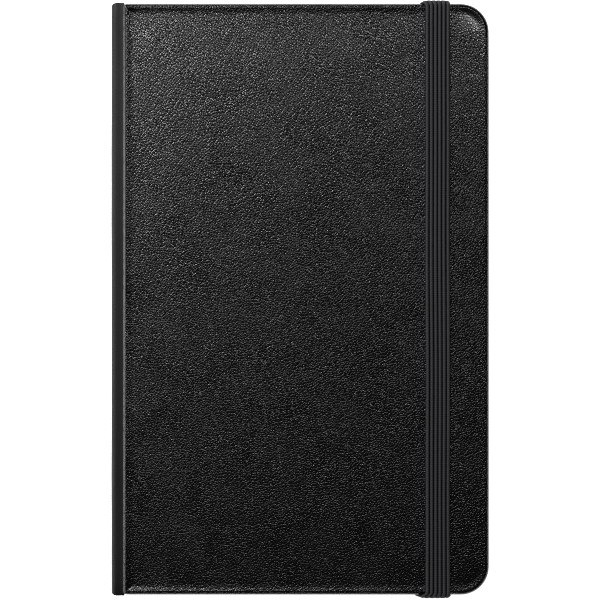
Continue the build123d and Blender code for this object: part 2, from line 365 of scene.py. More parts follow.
def makeLeather(name, look):
    # Coated cloth: raised satin pebbles, pits darkened with painted shade, and slow patches where the coat is
    # a little duller. A painted highlight runs along the board's lip.
    material, tree, shader = startMaterial(name)
    place = tree.nodes.new("ShaderNodeUVMap").outputs[0]
    grain = placeGroup(tree, pebbleGrain, Place=place, Size=look["grainSize"], Groove=look["groove"],
                       Warp=look["warp"])
    patch = noiseNode(tree, place, 9.0, 3.0, 0.55, flat=True)
    pebble = mixColour(tree, rangeNode(tree, patch, 0.3, 0.7), look["pebbleColour"],
                       darker(look["pebbleColour"], 0.78))
    # painted shade: the grooves are darkened towards the pit colour, standing in for the shade that falls in
    # them
    body = mixColour(tree, grain.outputs["Pits"], pebble, look["pitColour"])
    # painted highlight: a thin paler line along the lip, broken up by noise
    lipHighlight = tree.nodes.new("ShaderNodeAttribute")
    lipHighlight.attribute_name = "lipHighlight"
    highlightNoise = noiseNode(tree, place, 60.0, 3.0, 0.6, flat=True)
    paintedHighlight = mathNode(tree, "MULTIPLY", lipHighlight.outputs["Fac"], rangeNode(tree, highlightNoise, 0.25, 0.7, 0.4, 1.0))
    tree.links.new(mixColour(tree, paintedHighlight, body, look["wornColour"]), shader.inputs["Base Color"])
    tight = tree.nodes.new("ShaderNodeAttribute")
    tight.attribute_name = "tight"
    polish = mathNode(tree, "MULTIPLY", tight.outputs["Fac"], -0.04)
    patchRough = rangeNode(tree, patch, 0.25, 0.75, look["roughness"] - 0.04, look["roughness"] + 0.05)
    pitRough = mathNode(tree, "MULTIPLY", grain.outputs["Pits"], 0.08)
    rough = mathNode(tree, "ADD", patchRough, mathNode(tree, "ADD", pitRough, polish), True)
    tree.links.new(rough, shader.inputs["Roughness"])
    shader.inputs["Specular IOR Level"].default_value = look["specular"]
    left = rangeNode(tree, tight.outputs["Fac"], 0.0, 1.0, 1.0, look["tightGrain"], smooth=False)
    height = mathNode(tree, "MULTIPLY", grain.outputs["Height"], left)
    normal = bumpNode(tree, height, 1.0, look["grainDepth"] * mm)
    tree.links.new(normal, shader.inputs["Normal"])
    return material


coverLeather = makeLeather("coverLeather", leatherLook)
# the same cloth pressed nearly smooth and dull along the spine; its pits keep a faint painted shade
jointLook = dict(leatherLook, pebbleColour=(0.004, 0.0045, 0.0047, 1), pitColour=(0.003, 0.0034, 0.0035, 1),
                 grainDepth=0.006, roughness=0.5, specular=0.35)
jointLeather = makeLeather("jointLeather", jointLook)

elasticLook = {
    "threadColour": (0.04, 0.041, 0.044, 1),
    # painted shade in the valleys between the ribs and on the inner side
    "gapColour": (0.0006, 0.0006, 0.0007, 1),
    "fuzzColour": (0.05, 0.05, 0.053, 1),
    "stitchPitch": 0.42,  # mm between the cross threads
    "threadPitch": 0.16,  # mm between the threads along it
    "roughness": 0.72,
}


def makeElastic(name, look):
    # Ribbed woven elastic: each rib is wrapped in fine cross threads; the valleys between the ribs and the
    # inner side are darkened with painted shade.
    material, tree, shader = startMaterial(name)
    place = tree.nodes.new("ShaderNodeUVMap").outputs[0]
    rows = placeGroup(tree, stitchRows, Place=place, Across=perTurn / look["threadPitch"],
                      Along=perTurn / look["stitchPitch"])
    # painted shade: the thread is darkened towards the valley shade colour in the valleys and on the inner
    # side
    depth = tree.nodes.new("ShaderNodeAttribute")
    depth.attribute_name = "ribValleyShade"
    fuzz = noiseNode(tree, place, 420.0, 3.0, 0.7)
    thread = mixColour(tree, rangeNode(tree, rows.outputs["Bars"], 0.0, 1.0, 0.0, 0.35), look["threadColour"],
                       darker(look["threadColour"], 0.45))
    thread = mixColour(tree, rangeNode(tree, fuzz, 0.35, 0.75, 0.0, 0.4), thread, look["fuzzColour"])
    thread = mixColour(tree, depth.outputs["Fac"], thread, look["gapColour"])
    tree.links.new(thread, shader.inputs["Base Color"])
    shader.inputs["Roughness"].default_value = look["roughness"]
    shader.inputs["Sheen Weight"].default_value = 0.05
    shader.inputs["Sheen Roughness"].default_value = 0.4
    shader.inputs["Specular IOR Level"].default_value = 0.2
    tree.links.new(bumpNode(tree, rows.outputs["Height"], 0.5, 0.05 * mm), shader.inputs["Normal"])
    return material


elasticCloth = makeElastic("elasticCloth", elasticLook)

paperLook = {
    "colour": (0.68, 0.63, 0.52, 1),
    "shade": (0.64, 0.59, 0.475, 1),
    "lineColour": (0.3, 0.32, 0.34, 1),
    "fleckColour": (0.55, 0.5, 0.4, 1),
    "linePitch": 6.0,  # mm between ruled lines
    "lineWide": 0.16,
    "firstLine": 56.0,  # mm from the middle to the top line
}


def makePaper(name, look, ruled):
    # Ivory paper with fine fibre; ruled pages carry thin grey lines across, left out of the top margin.
    material, tree, shader = startMaterial(name)
    place = tree.nodes.new("ShaderNodeUVMap").outputs[0]
    fibre = placeGroup(tree, fibreCloud, Place=place, Size=160.0)
    body = mixColour(tree, rangeNode(tree, fibre.outputs["Cloud"], 0.3, 0.7), look["colour"], look["shade"])
    fleck = rangeNode(tree, fibre.outputs["Fleck"], 0.55, 0.8, 0.0, 0.15)
    body = mixColour(tree, fleck, body, look["fleckColour"])
    if ruled:
        parts = tree.nodes.new("ShaderNodeSeparateXYZ")
        tree.links.new(place, parts.inputs[0])
        steps = mathNode(tree, "DIVIDE", parts.outputs[1], look["linePitch"] / 100)
        within = mathNode(tree, "FRACT", mathNode(tree, "ADD", steps, 100.0))  # 0 to 1 from line to line
        near = mathNode(tree, "ABSOLUTE", mathNode(tree, "SUBTRACT", within, 0.5))
        half = look["lineWide"] / look["linePitch"] / 2
        line = rangeNode(tree, near, half * 1.6, half * 0.6)
        inside = mathNode(tree, "LESS_THAN", parts.outputs[1], look["firstLine"] / 100)
        drawn = mathNode(tree, "MULTIPLY", mathNode(tree, "MULTIPLY", line, inside), 0.75)
        body = mixColour(tree, drawn, body, look["lineColour"])
    tree.links.new(body, shader.inputs["Base Color"])
    shader.inputs["Roughness"].default_value = 0.85
    shader.inputs["Specular IOR Level"].default_value = 0.2
    tree.links.new(bumpNode(tree, fibre.outputs["Fleck"], 0.25, 0.03 * mm), shader.inputs["Normal"])
    return material


pagePaper = makePaper("pagePaper", paperLook, True)
endPaper = makePaper("endPaper", dict(paperLook, colour=(0.65, 0.6, 0.49, 1)), False)


def makeCard(name, colour, fleck, size, roughness):
    # Grey board and gauze on Object coordinates: flecked, matt.
    material, tree, shader = startMaterial(name)
    place = tree.nodes.new("ShaderNodeTexCoord").outputs["Object"]
    fibre = placeGroup(tree, fibreCloud, Place=place, Size=size)
    body = mixColour(tree, rangeNode(tree, fibre.outputs["Cloud"], 0.3, 0.7), colour, darker(colour, 0.8))
    body = mixColour(tree, rangeNode(tree, fibre.outputs["Fleck"], 0.5, 0.75, 0, 0.6), body, fleck)
    tree.links.new(body, shader.inputs["Base Color"])
    shader.inputs["Roughness"].default_value = roughness
    tree.links.new(bumpNode(tree, fibre.outputs["Fleck"], 0.5, 0.08 * mm), shader.inputs["Normal"])
    return material


boardCard = makeCard("boardCard", (0.36, 0.32, 0.27, 1), (0.2, 0.18, 0.15, 1), 2200.0, 0.9)
gauze = makeCard("gauze", (0.72, 0.7, 0.63, 1), (0.45, 0.43, 0.38, 1), 3000.0, 0.85)


headbandLook = {
    "dark": (0.012, 0.012, 0.013, 1),
    "pale": (0.07, 0.07, 0.073, 1),
    "stripe": 1.6,  # mm from stripe to stripe
    "threadPitch": 0.4,
    "stitchPitch": 0.2,
}


def makeHeadbandCloth(look):
    # Woven bead: black and slightly paler threads wind round it in turn, striped along its length by V.
    material, tree, shader = startMaterial("headbandCloth")
    place = tree.nodes.new("ShaderNodeUVMap").outputs[0]
    parts = tree.nodes.new("ShaderNodeSeparateXYZ")
    tree.links.new(place, parts.inputs[0])
    stripe = mathNode(tree, "SINE", mathNode(tree, "MULTIPLY", parts.outputs[1], perTurn / look["stripe"]))
    colour = mixColour(tree, rangeNode(tree, stripe, -0.15, 0.15), look["dark"], look["pale"])
    rows = placeGroup(tree, stitchRows, Place=place, Across=perTurn / look["threadPitch"],
                      Along=perTurn / look["stitchPitch"])
    tree.links.new(colour, shader.inputs["Base Color"])
    shader.inputs["Roughness"].default_value = 0.8
    tree.links.new(bumpNode(tree, rows.outputs["Height"], 0.6, 0.05 * mm), shader.inputs["Normal"])
    return material


headbandCloth = makeHeadbandCloth(headbandLook)
print("materials made")

# Cover panels.
panelShape = {
    "thick": 0.4,  # all in mm
    "cornerRadius": 6.7,
    "spineCorner": 1.0,
    "edgeRound": 1.05,  # round of the outer edge
    "innerRound": 0.3,  # round of the edge beside the pages
    "turnIn": 9.0,
    "unevenness": 0.045,
    "bead": 0.015,  # how far the face sinks inside its edge
    "crownSpine": 0.16,  # how far it falls off towards the spine, and over what width
    "crownWide": 15.0,
    "crownEnds": 0.25,  # how far it falls off towards head and tail
    "foreTight": 9.0,  # reach of the flatter grain at the fore corners and at the spine corners
    "spineTight": 4.0,
}


def roundedOutline(inset, lowX, highX, halfY, shape, arcPoints=14, sidePoints=70):
    # Points round a rounded rectangle at each inset: two large corners at the fore edge and two small
    # ones at the spine, each corner an arc about its own centre whose radius shrinks with the inset.
    inset = np.atleast_1d(inset)[:, None]
    radii = (shape["spineCorner"] * mm, shape["cornerRadius"] * mm)
    corners = ((highX, -halfY, -90, radii[1]), (highX, halfY, 0, radii[1]),
               (lowX, halfY, 90, radii[0]), (lowX, -halfY, 180, radii[0]))
    arcs = []
    for x, y, first, radius in corners:
        turn = np.radians(first + np.linspace(0, 90, arcPoints))[None, :]
        keep = np.maximum(radius - inset, 0.02 * mm)
        centreInset = np.maximum(radius, inset + 0.02 * mm)
        centreX = x - math.copysign(1, x) * centreInset if abs(x) > 0 else x
        centreY = y - math.copysign(1, y) * centreInset
        arcs.append((centreX + keep * np.cos(turn), centreY + keep * np.sin(turn)))
    rings = []
    for k in range(4):
        x, y = arcs[k]
        nextX, nextY = arcs[(k + 1) % 4]
        t = np.linspace(0, 1, sidePoints)[None, 1:-1]
        rings.append((x, y))
        rings.append((x[:, -1:] * (1 - t) + nextX[:, :1] * t, y[:, -1:] * (1 - t) + nextY[:, :1] * t))
    return np.concatenate([r[0] for r in rings], 1), np.concatenate([r[1] for r in rings], 1)


def coverPanel(name, outerZ, innerZ, body, nodes, seed):
    # Leather wrapped round a board. Its section runs in from the turn-in, round the edge and over the face:
    # each ring has an inset from the outline and a height, so the whole is a function of ring and way round.
    # Height = section + unevenness + sink inside the edge + crown.
    # The inner wall follows the same rings a leather's thickness further in, and closes the shell.
    shape = panelShape
    up = 1 if outerZ > innerZ else -1
    deep = abs(outerZ - innerZ)
    edge, thick, small = shape["edgeRound"] * mm, shape["thick"] * mm, shape["innerRound"] * mm
    turn = np.radians(np.linspace(0, 90, 9))
    faceEnd = (foreX - lipX) / 2 - 0.4 * mm  # the last ring stops just short of the middle line
    faceInset = np.concatenate([[edge + 0.5 * mm], np.linspace(edge + 1.6 * mm, faceEnd, 22)])
    rings = [(shape["turnIn"] * mm, 0.0), (4 * mm, 0.0), (small + 0.3 * mm, 0.0)]
    rings += [(small * (1 - math.sin(a)), small * (1 - math.cos(a))) for a in turn[1::2]]
    rings += [(edge * (1 - math.cos(a)), deep - edge + edge * math.sin(a)) for a in turn]
    rings += [(d, deep) for d in faceInset]
    outer = np.array(rings)
    step = np.hypot(*np.diff(outer, axis=0).T)
    along = np.concatenate([[0], np.cumsum(step)])
    flatStart = len(rings) - len(faceInset)
    unrolled = faceInset[0] - (along[flatStart] - along)
    unrolled[flatStart:] = faceInset
    x, y = roundedOutline(outer[:, 0], lipX, foreX, headY, shape)
    uvX, uvY = roundedOutline(np.zeros(1), lipX, foreX, headY, shape)
    # each ring's UV lies at its unrolled distance from the outline, so the grain isn't stretched over the edge
    inX, inY = roundedOutline(np.array([3 * mm]), lipX, foreX, headY, shape)
    wayX, wayY = (inX - uvX) / (3 * mm), (inY - uvY) / (3 * mm)
    flat = (np.arange(len(rings)) >= flatStart)[:, None]
    uX = np.where(flat, x, uvX + wayX * unrolled[:, None])
    uY = np.where(flat, y, uvY + wayY * unrolled[:, None])
    onFace = smoothRamp(outer[:, 0], edge * 0.5, 4 * mm)[:, None] * flat
    long, short = waves(x, y, seed, 34 * mm), waves(x, y, seed + 50, 12 * mm)
    lift = shape["unevenness"] * mm * (0.6 * long + 0.5 * short) * onFace
    if up < 0:
        lift = (lift - lift.max()) * 0.5  # the back lies level, never below the floor
    # the face sinks a hair towards the middle, as cloth drawn tight over board does near its edge
    sink = -shape["bead"] * mm * smoothRamp(outer[:, 0], 1.2 * mm, 5.5 * mm)[:, None] * flat
    # and it is crowned: it falls off gently towards the spine, and more towards head and tail
    crown = -shape["crownSpine"] * mm * (1 - smoothRamp(x - lipX, 0, shape["crownWide"] * mm))
    crown = (crown - shape["crownEnds"] * mm * (np.abs(y) / headY) ** 5) * flat
    height = innerZ + up * (outer[:, 1][:, None] + lift + sink + crown)
    points = np.stack([x, y, height + np.zeros_like(x)], -1)
    uv = np.stack([uX, uY], -1) * 10
    rows, columns = x.shape
    wallRings = np.array([(faceEnd, deep - thick), (edge + 0.5 * mm, deep - thick),
                          (edge, deep - thick - 0.05 * mm), (thick, deep - edge),
                          (thick, 0.2 * mm), (shape["turnIn"] * mm, 0.2 * mm)])
    wx, wy = roundedOutline(wallRings[:, 0], lipX, foreX, headY, shape)
    wall = np.stack([wx, wy, innerZ + up * wallRings[:, 1][:, None] + np.zeros_like(wx)], -1)
    allPoints = np.concatenate([points.reshape(-1, 3), wall.reshape(-1, 3)])
    allUv = np.concatenate([uv.reshape(-1, 2), np.stack([wx, wy], -1).reshape(-1, 2) * 10])
    faces = gridFaces(rows, columns, closeColumns=True)
    wallStart = rows * columns
    faces += gridFaces(len(wallRings), columns, closeColumns=True, start=wallStart)
    ring = np.arange(columns)
    after = np.roll(ring, -1)
    turnWall = wallStart + (len(wallRings) - 1) * columns
    faces += np.stack([turnWall + ring, turnWall + after, after, ring], -1).tolist()
    faces.append(((rows - 1) * columns + ring).tolist())
    faces.append((wallStart + ring)[::-1].tolist())
    piece = makePiece(name, allPoints, faces, coverLeather, uv=allUv, sharpEnds=False)
    # cloth drawn tight over the corners has flatter grain: 1 at a corner, falling to 0 with distance
    tight = np.zeros(len(allPoints))
    for cornerX, reachIn in ((foreX - 2 * mm, shape["foreTight"] * mm), (lipX, shape["spineTight"] * mm)):
        apart = np.hypot(allPoints[:, 0] - cornerX, np.abs(allPoints[:, 1]) - (headY - 1.5 * mm))
        tight = np.maximum(tight, 1 - smoothRamp(apart, reachIn * 0.3, reachIn))
    fromLip = allPoints[:, 0] - lipX
    tight = np.maximum(tight, 1 - smoothRamp(fromLip, 0.9 * mm, 1.6 * mm))
    # the tail end and the whole back are drawn less tight
    tight *= np.where((allPoints[:, 1] < 0) | (up < 0), 0.35, 1.0)
    # painted highlight: a thin paler line painted along the edge at the joint, where the board's rounded lip
    # catches the light from the left
    lipHighlight = smoothRamp(fromLip, 0.0, 0.2 * mm) * (1 - smoothRamp(fromLip, 0.45 * mm, 0.9 * mm))
    lipHighlight *= np.abs(allPoints[:, 2] - innerZ) > deep * 0.6
    addValues(piece, "lipHighlight", lipHighlight)
    addValues(piece, "tight", tight)
    faceOut(piece)
    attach(piece, body)
    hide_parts(*nodes)
    return piece


coverPanel("coverPanelFront", topZ, coverLow[2], "front_cover", ["front_cover_leather"], 3)
coverPanel("coverPanelBack", 0.0, backInnerZ, "back_cover", ["back_cover_leather"], 8)
print("cover panels made")

# Spine and joints.
spineShape = {
    "corner": 1.2,  # all in mm
    "thick": 0.4,
    "groove": 0.12,  # extra depth beside the board
    "under": 0.45,  # how far it runs on under the board's lip
    "endRise": 0.22,  # how far its ends stand past the boards at the joint
    "endDrop": 0.7,  # how far they fall back at the spine's outer face, and over what width
    "endReach": 1.5,
    "unevenness": 0.02,
}


def arcSteps(centre, radius, first, last, count):
    # Points on a circle, from one angle to another in degrees.
    angle = np.radians(np.linspace(first, last, count))
    return np.stack([centre[0] + radius * np.cos(angle), centre[1] + radius * np.sin(angle)], -1)


def jointStrip(name, mirror, nodes, seed):
    # From the middle of the spine, up its face, round the corner and along the joint to below the board's
    # lip. The strip is that profile carried along Y, in a stadium-shaped loop that closes head and tail.
    # Each point = profile point - normal x (depth in the cloth - unevenness).
    s = spineShape
    radius = s["corner"] * mm
    centre = (spineX + radius, jointTop - radius)
    wall = np.stack([np.full(8, spineX), np.linspace(middleZ, centre[1], 8)], -1)
    bend = arcSteps(centre, radius, 180, 90, 12)[1:]
    run = np.linspace(centre[0], lipX + s["under"] * mm, 9)[1:]
    dip = s["groove"] * mm * smoothRamp(run, centre[0], lipX - 0.2 * mm)
    level = np.stack([run, jointTop - dip], -1)
    profile = np.concatenate([wall, bend, level])
    slope = np.gradient(profile, axis=0)
    normal = np.stack([-slope[:, 1], slope[:, 0]], -1)
    normal /= np.linalg.norm(normal, axis=1)[:, None]
    along = np.concatenate([[0], np.cumsum(np.hypot(*np.diff(profile, axis=0).T))])
    # the ends stand a touch past the boards at the joint and round off towards the spine's outer face
    inward = np.clip((profile[:, 0] - spineX) / (s["endReach"] * mm), 0, 1)
    endY = headY + (s["endRise"] - s["endDrop"] * (1 - np.sqrt(1 - (1 - inward) ** 2))) * mm
    thick, turn = s["thick"] * mm, np.radians(np.linspace(-90, 90, 7))
    lengthways = np.linspace(-1, 1, 41)
    flat = np.zeros(41)
    acrossEnd = thick / 2 * np.cos(turn + math.pi / 2)[1:-1]
    roundEnd = np.sin(turn + math.pi / 2)[1:-1]
    offset = np.concatenate([flat, thick / 2 - acrossEnd, flat + thick, thick / 2 + acrossEnd])
    reach = np.concatenate([lengthways, np.ones(5), lengthways[::-1], -np.ones(5)])
    bulge = np.concatenate([flat, roundEnd, flat, -roundEnd])
    y = reach[None, :] * (endY[:, None] - thick / 2) + bulge[None, :] * thick / 2
    uneven = s["unevenness"] * mm * waves(along[:, None], y, seed, 22 * mm)
    uneven *= smoothRamp(along, 1 * mm, 4 * mm)[:, None]  # both halves meet flat at the middle of the spine
    deep = offset[None, :] - uneven
    x = profile[:, 0][:, None] - normal[:, 0][:, None] * deep
    z = profile[:, 1][:, None] - normal[:, 1][:, None] * deep
    if mirror:
        z = 2 * middleZ - z
    rows, columns = x.shape
    points = np.stack([x, y, z], -1).reshape(-1, 3)
    way = -along if mirror else along  # the pattern runs on from one half to the other
    uv = np.stack([np.broadcast_to(way[:, None], x.shape), y], -1).reshape(-1, 2) * 10
    faces = gridFaces(rows, columns, closeColumns=True)
    faces.append(np.arange(columns).tolist())
    faces.append(((rows - 1) * columns + np.arange(columns))[::-1].tolist())
    piece = makePiece(name, points, faces, jointLeather, uv=uv)
    faceOut(piece)
    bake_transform(piece)
    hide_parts(*nodes)
    return piece


jointStrip("spineHalfFront", False, ["front_joint_leather", "spine_leather"], 21)
jointStrip("spineHalfBack", True, ["back_joint_leather"], 22)
print("spine and joints made")

# Pages.
pageShape = {
    "leaves": 12,  # in each section
    "gap": 0.014,  # mm between leaves
    "cornerRadius": 5.0,
    "bendOver": 12.0,  # mm from the fold within which the points along each leaf are set close together
    "trimSpread": 0.05,  # how much the leaves differ in length
    "nesting": 0.02,  # how much each leaf towards a section's middle starts nearer the fold
    "ripple": 0.004,
}


def leafStack(name, node, leaves, material, seed, bend=None, body=None):
    # A stack of thin leaves in a node's box. Each is a loop of four points round its end section, carried
    # from the fold to the fore edge; past the corner's start its half width is that of a quarter circle.
    s = pageShape
    low, high = (np.array(c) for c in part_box(node))
    draw = np.random.default_rng(seed)
    radius = s["cornerRadius"] * mm
    pitch = (high[2] - low[2]) / leaves
    straight = np.concatenate([np.linspace(0, 1, 27) ** 1.5 * s["bendOver"] * mm * 1.2,
                               np.linspace(s["bendOver"] * mm * 1.4, high[0] - low[0] - radius, 7)])
    corner = high[0] - low[0] - radius + radius * np.sin(np.radians(np.linspace(0, 90, 11)[1:]))
    station = np.concatenate([straight, corner])
    past = np.clip((station - (high[0] - low[0] - radius)) / radius, 0, 1)
    drop = radius * (1 - np.sqrt(np.clip(1 - past ** 2, 0, 1)))
    points, uvs, faces = [], [], []
    across = np.linspace(-1, 1, 9)
    for k in range(leaves):
        nest = (abs(k - (leaves - 1) / 2) - (leaves - 1) / 2) * -s["nesting"] * mm
        trim = draw.uniform(-1, 1, 3) * s["trimSpread"] * mm
        x = low[0] + nest + station * (1 + (trim[0] - nest - s["trimSpread"] * mm) / (high[0] - low[0]))
        halfY = (high[1] - low[1]) / 2 - drop - (s["trimSpread"] * mm + trim[1])
        bottom = low[2] + pitch * k + s["gap"] * mm / 2
        top = low[2] + pitch * (k + 1) - s["gap"] * mm / 2
        loopY = np.concatenate([across, across[::-1]])
        y = halfY[:, None] * loopY[None, :]
        z = np.where(np.arange(18) < 9, top, bottom)[None, :] + np.zeros_like(y)
        z += s["ripple"] * mm * waves(x[:, None], y, seed * 50 + k, 40 * mm)
        px = np.broadcast_to(x[:, None], y.shape)
        start = len(points) * px.size
        points.append(np.stack([px, y, z], -1).reshape(-1, 3))
        uvs.append(np.stack([px * 10, y * 10], -1).reshape(-1, 2))
        faces += gridFaces(len(station), 18, closeColumns=True, start=start)
        faces.append((start + np.arange(18)).tolist())
        faces.append((start + (len(station) - 1) * 18 + np.arange(18))[::-1].tolist())
    piece = makePiece(name, np.concatenate(points), faces, material, smooth=False, uv=np.concatenate(uvs))
    faceOut(piece)
    if bend:
        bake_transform(piece)
    else:
        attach(piece, body)
    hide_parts(node)
    return piece


for number in range(1, 9):
    cover = "back_cover" if number < 5 else "front_cover"
    leafStack(f"pages{number}", f"section_{number}", pageShape["leaves"], pagePaper, 100 + number,
              bend=("spine", cover))
leafStack("endpaperBack", "back_endpaper", 2, endPaper, 200, body="back_cover")
leafStack("endpaperFront", "front_endpaper", 2, endPaper, 201, body="front_cover")
print("pages made")

# Headbands.
headbandShape = {
    "turns": 22,
    "ridge": 0.05,  # part of its width that each turn of thread stands up
    "squareness": 0.7,  # 1 is an ellipse, 0 a rectangle
}


def headband(name, node):
    # A bead of wound thread on a flat backing: its section is a stadium in X and Y carried up Z,
    # with small ridges where the thread turns, closed by its two end loops.
    low, high = (np.array(c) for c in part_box(node))
    width, length = high[0] - low[0], high[1] - low[1]
    angle = np.linspace(0, 2 * math.pi, 28, endpoint=False)
    power = headbandShape["squareness"]
    shapeX = np.sign(np.cos(angle)) * np.abs(np.cos(angle)) ** power * width / 2
    shapeY = np.sign(np.sin(angle)) * np.abs(np.sin(angle)) ** power * length / 2
    level = np.linspace(0, 1, headbandShape["turns"] * 6 + 1)
    ridge = 1 - headbandShape["ridge"] * (1 + np.cos(level * headbandShape["turns"] * 2 * math.pi)) / 2
    ends = 0.75 + 0.25 * np.sqrt(np.clip(1 - (np.abs(level * 2 - 1) ** 12), 0, 1))
    grow = (ridge * ends)[:, None]
    x = (low[0] + high[0]) / 2 + shapeX[None, :] * grow
    y = (low[1] + high[1]) / 2 + shapeY[None, :] * (0.98 + 0.02 * grow)
    z = low[2] + level[:, None] * (high[2] - low[2]) + np.zeros_like(x)
    rows, columns = x.shape
    faces = gridFaces(rows, columns, closeColumns=True)
    faces.append(np.arange(columns)[::-1].tolist())
    faces.append(((rows - 1) * columns + np.arange(columns)).tolist())
    uv = np.stack([np.broadcast_to(angle[None, :] * 0.0007, x.shape), z], -1).reshape(-1, 2) * 10
    piece = makePiece(name, np.stack([x, y, z], -1).reshape(-1, 3), faces, headbandCloth, uv=uv)
    faceOut(piece)
    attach(piece, "spine")
    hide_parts(node)


headband("headbandHead", "headband_head")
headband("headbandTail", "headband_tail")
print("headbands made")

# Elastic band.
bandShape = {
    "ribs": 6,
    "ribRise": 0.42,  # mm from valley to crest
    "ribFill": 0.86,  # part of the pitch that a rib's circle takes up
    "bendRadius": 0.75,
    "flareHead": 1.3,  # mm wider where it goes over the head edge
    "flareTail": 2.6,
    "slipHead": -0.6,  # mm that it slants towards the spine by the slit
    "slipTail": -1.1,
    "flaredByTurn": 0.6,  # part of the flare that is reached in the quarter turn
    "edgeFall": 0.45,  # mm that its edges fall away where it is drawn flat
    "tailThick": 0.55,
    "slitIn": 10.0,  # mm from the covers' edge to the slit
}


def ribProfile(count=97):
    # Across the band, from -1 to 1: the ribs' height, 0 in the valleys and 1 on the crests.
    # Each rib is the top of a circle, and both edges lie at 0.
    t = np.linspace(-1, 1, count)
    phase = (t + 1) / 2 * bandShape["ribs"] % 1.0
    rise = np.sqrt(np.clip(1 - ((2 * phase - 1) / bandShape["ribFill"]) ** 2, 0, 1))
    rise[0] = rise[-1] = 0
    return t, rise


def ribbedStrip(name, path, normals, widths, slips, thick, uvStart, pulls):
    # A ribbed section carried along a path of (y, z) points: the outer side has the ribs, the inner is flat.
    # Width and sideways slip vary along the path. Where pull is 1 the band is drawn flat: the ribs keep a
    # fifth of their height and the edges fall away by edgeFall x |t| to the 8th.
    t, rise = ribProfile()
    depth = 1 - rise
    pull = pulls[:, None]
    valley = bandShape["ribRise"] * mm * depth * (1 - 0.8 * pull)
    outerOff = thick - valley - bandShape["edgeFall"] * mm * t ** 8 * pull
    innerT = np.linspace(1, -1, 13)[1:-1]
    loopT = np.concatenate([t, innerT])
    outerOff[:, 0] = outerOff[:, -1] = thick * 0.3
    loopOff = np.concatenate([outerOff, np.zeros((len(pulls), len(innerT)))], 1)
    # painted shade: 0 on the crests, 1 in the valleys and at the edges, 0.6 on the flat inner side
    loopValleyShade = np.concatenate([smoothRamp(depth, 0.2, 0.6), np.full(len(innerT), 0.6)])
    x = bandX + slips[:, None] + loopT[None, :] * widths[:, None] / 2
    y = path[:, 0][:, None] + normals[:, 0][:, None] * loopOff
    z = path[:, 1][:, None] + normals[:, 1][:, None] * loopOff
    along = uvStart + np.concatenate([[0], np.cumsum(np.hypot(*np.diff(path, axis=0).T))])
    rows, columns = x.shape
    uvAcross = loopT[None, :] * bandWide / 2 + np.zeros_like(x)
    uv = np.stack([uvAcross, np.broadcast_to(along[:, None], x.shape)], -1)
    faces = gridFaces(rows, columns, closeColumns=True)
    faces.append(np.arange(columns).tolist())
    faces.append(((rows - 1) * columns + np.arange(columns))[::-1].tolist())
    points = np.stack([x, y, z], -1).reshape(-1, 3)
    piece = makePiece(name, points, faces, elasticCloth, uv=uv.reshape(-1, 2) * 10)
    addValues(piece, "ribValleyShade", np.tile(loopValleyShade, rows))
    faceOut(piece)
    return piece


def bandAcross():
    # Straight over the front cover, then a quarter turn over the head and tail edges, flaring and slanting.
    r = bandShape["bendRadius"] * mm
    base = topZ + 0.02 * mm
    straight = np.linspace(-(headY - r), headY - r, 161)
    turn = np.radians(np.linspace(0, 90, 9))[1:]
    headArc = np.stack([headY - r + r * np.sin(turn), base - r + r * np.cos(turn)], -1)
    headNormal = np.stack([np.sin(turn), np.cos(turn)], -1)
    middle = np.stack([straight, np.full(len(straight), base)], -1)
    middleNormal = np.tile([0.0, 1.0], (len(straight), 1))
    tailArc = headArc[::-1] * [-1, 1]
    tailNormal = headNormal[::-1] * [-1, 1]
    path = np.concatenate([tailArc, middle, headArc])
    normals = np.concatenate([tailNormal, middleNormal, headNormal])
    toHead = smoothRamp(path[:, 0], headY - r, headY)
    toTail = smoothRamp(-path[:, 0], headY - r, headY)
    sway = 0.05 * mm * waves(path[:, 0], path[:, 0] * 0, 5, 60 * mm)
    widths = bandWide + 0.06 * mm * waves(path[:, 0], path[:, 0] * 0, 6, 35 * mm)
    flared = bandShape["flaredByTurn"] * mm
    widths = widths + flared * (toHead * bandShape["flareHead"] + toTail * bandShape["flareTail"])
    slips = sway + flared * (toHead * bandShape["slipHead"] + toTail * bandShape["slipTail"])
    piece = ribbedStrip("elasticAcross", path, normals, widths, slips, bandThick, 0.0, toHead + toTail)
    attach(piece, "elastic")
    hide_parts("elastic_band")


def bandTurn(name, side, flare, slip, node):
    # Down the edges of both covers, flaring and slanting towards its slit in the back cover.
    level = np.linspace(topZ - bandShape["bendRadius"] * mm, 0.0, 40)
    reach = side * (headY + 0.01 * mm)
    path = np.stack([np.full(40, reach), level], -1)
    normals = np.tile([float(side), 0.0], (40, 1))
    flared = bandShape["flaredByTurn"]
    go = flared + (1 - flared) * smoothRamp(topZ - level, 0.75 * mm, 3 * mm)
    pulls = 1 - 0.6 * smoothRamp(topZ - level, 2 * mm, 6 * mm)
    widths, slips = bandWide + mm * flare * go, mm * slip * go
    piece = ribbedStrip(name, path, normals, widths, slips, bandThick, 0.08, pulls)
    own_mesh(piece)
    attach(piece, "back_cover")
    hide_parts(node)


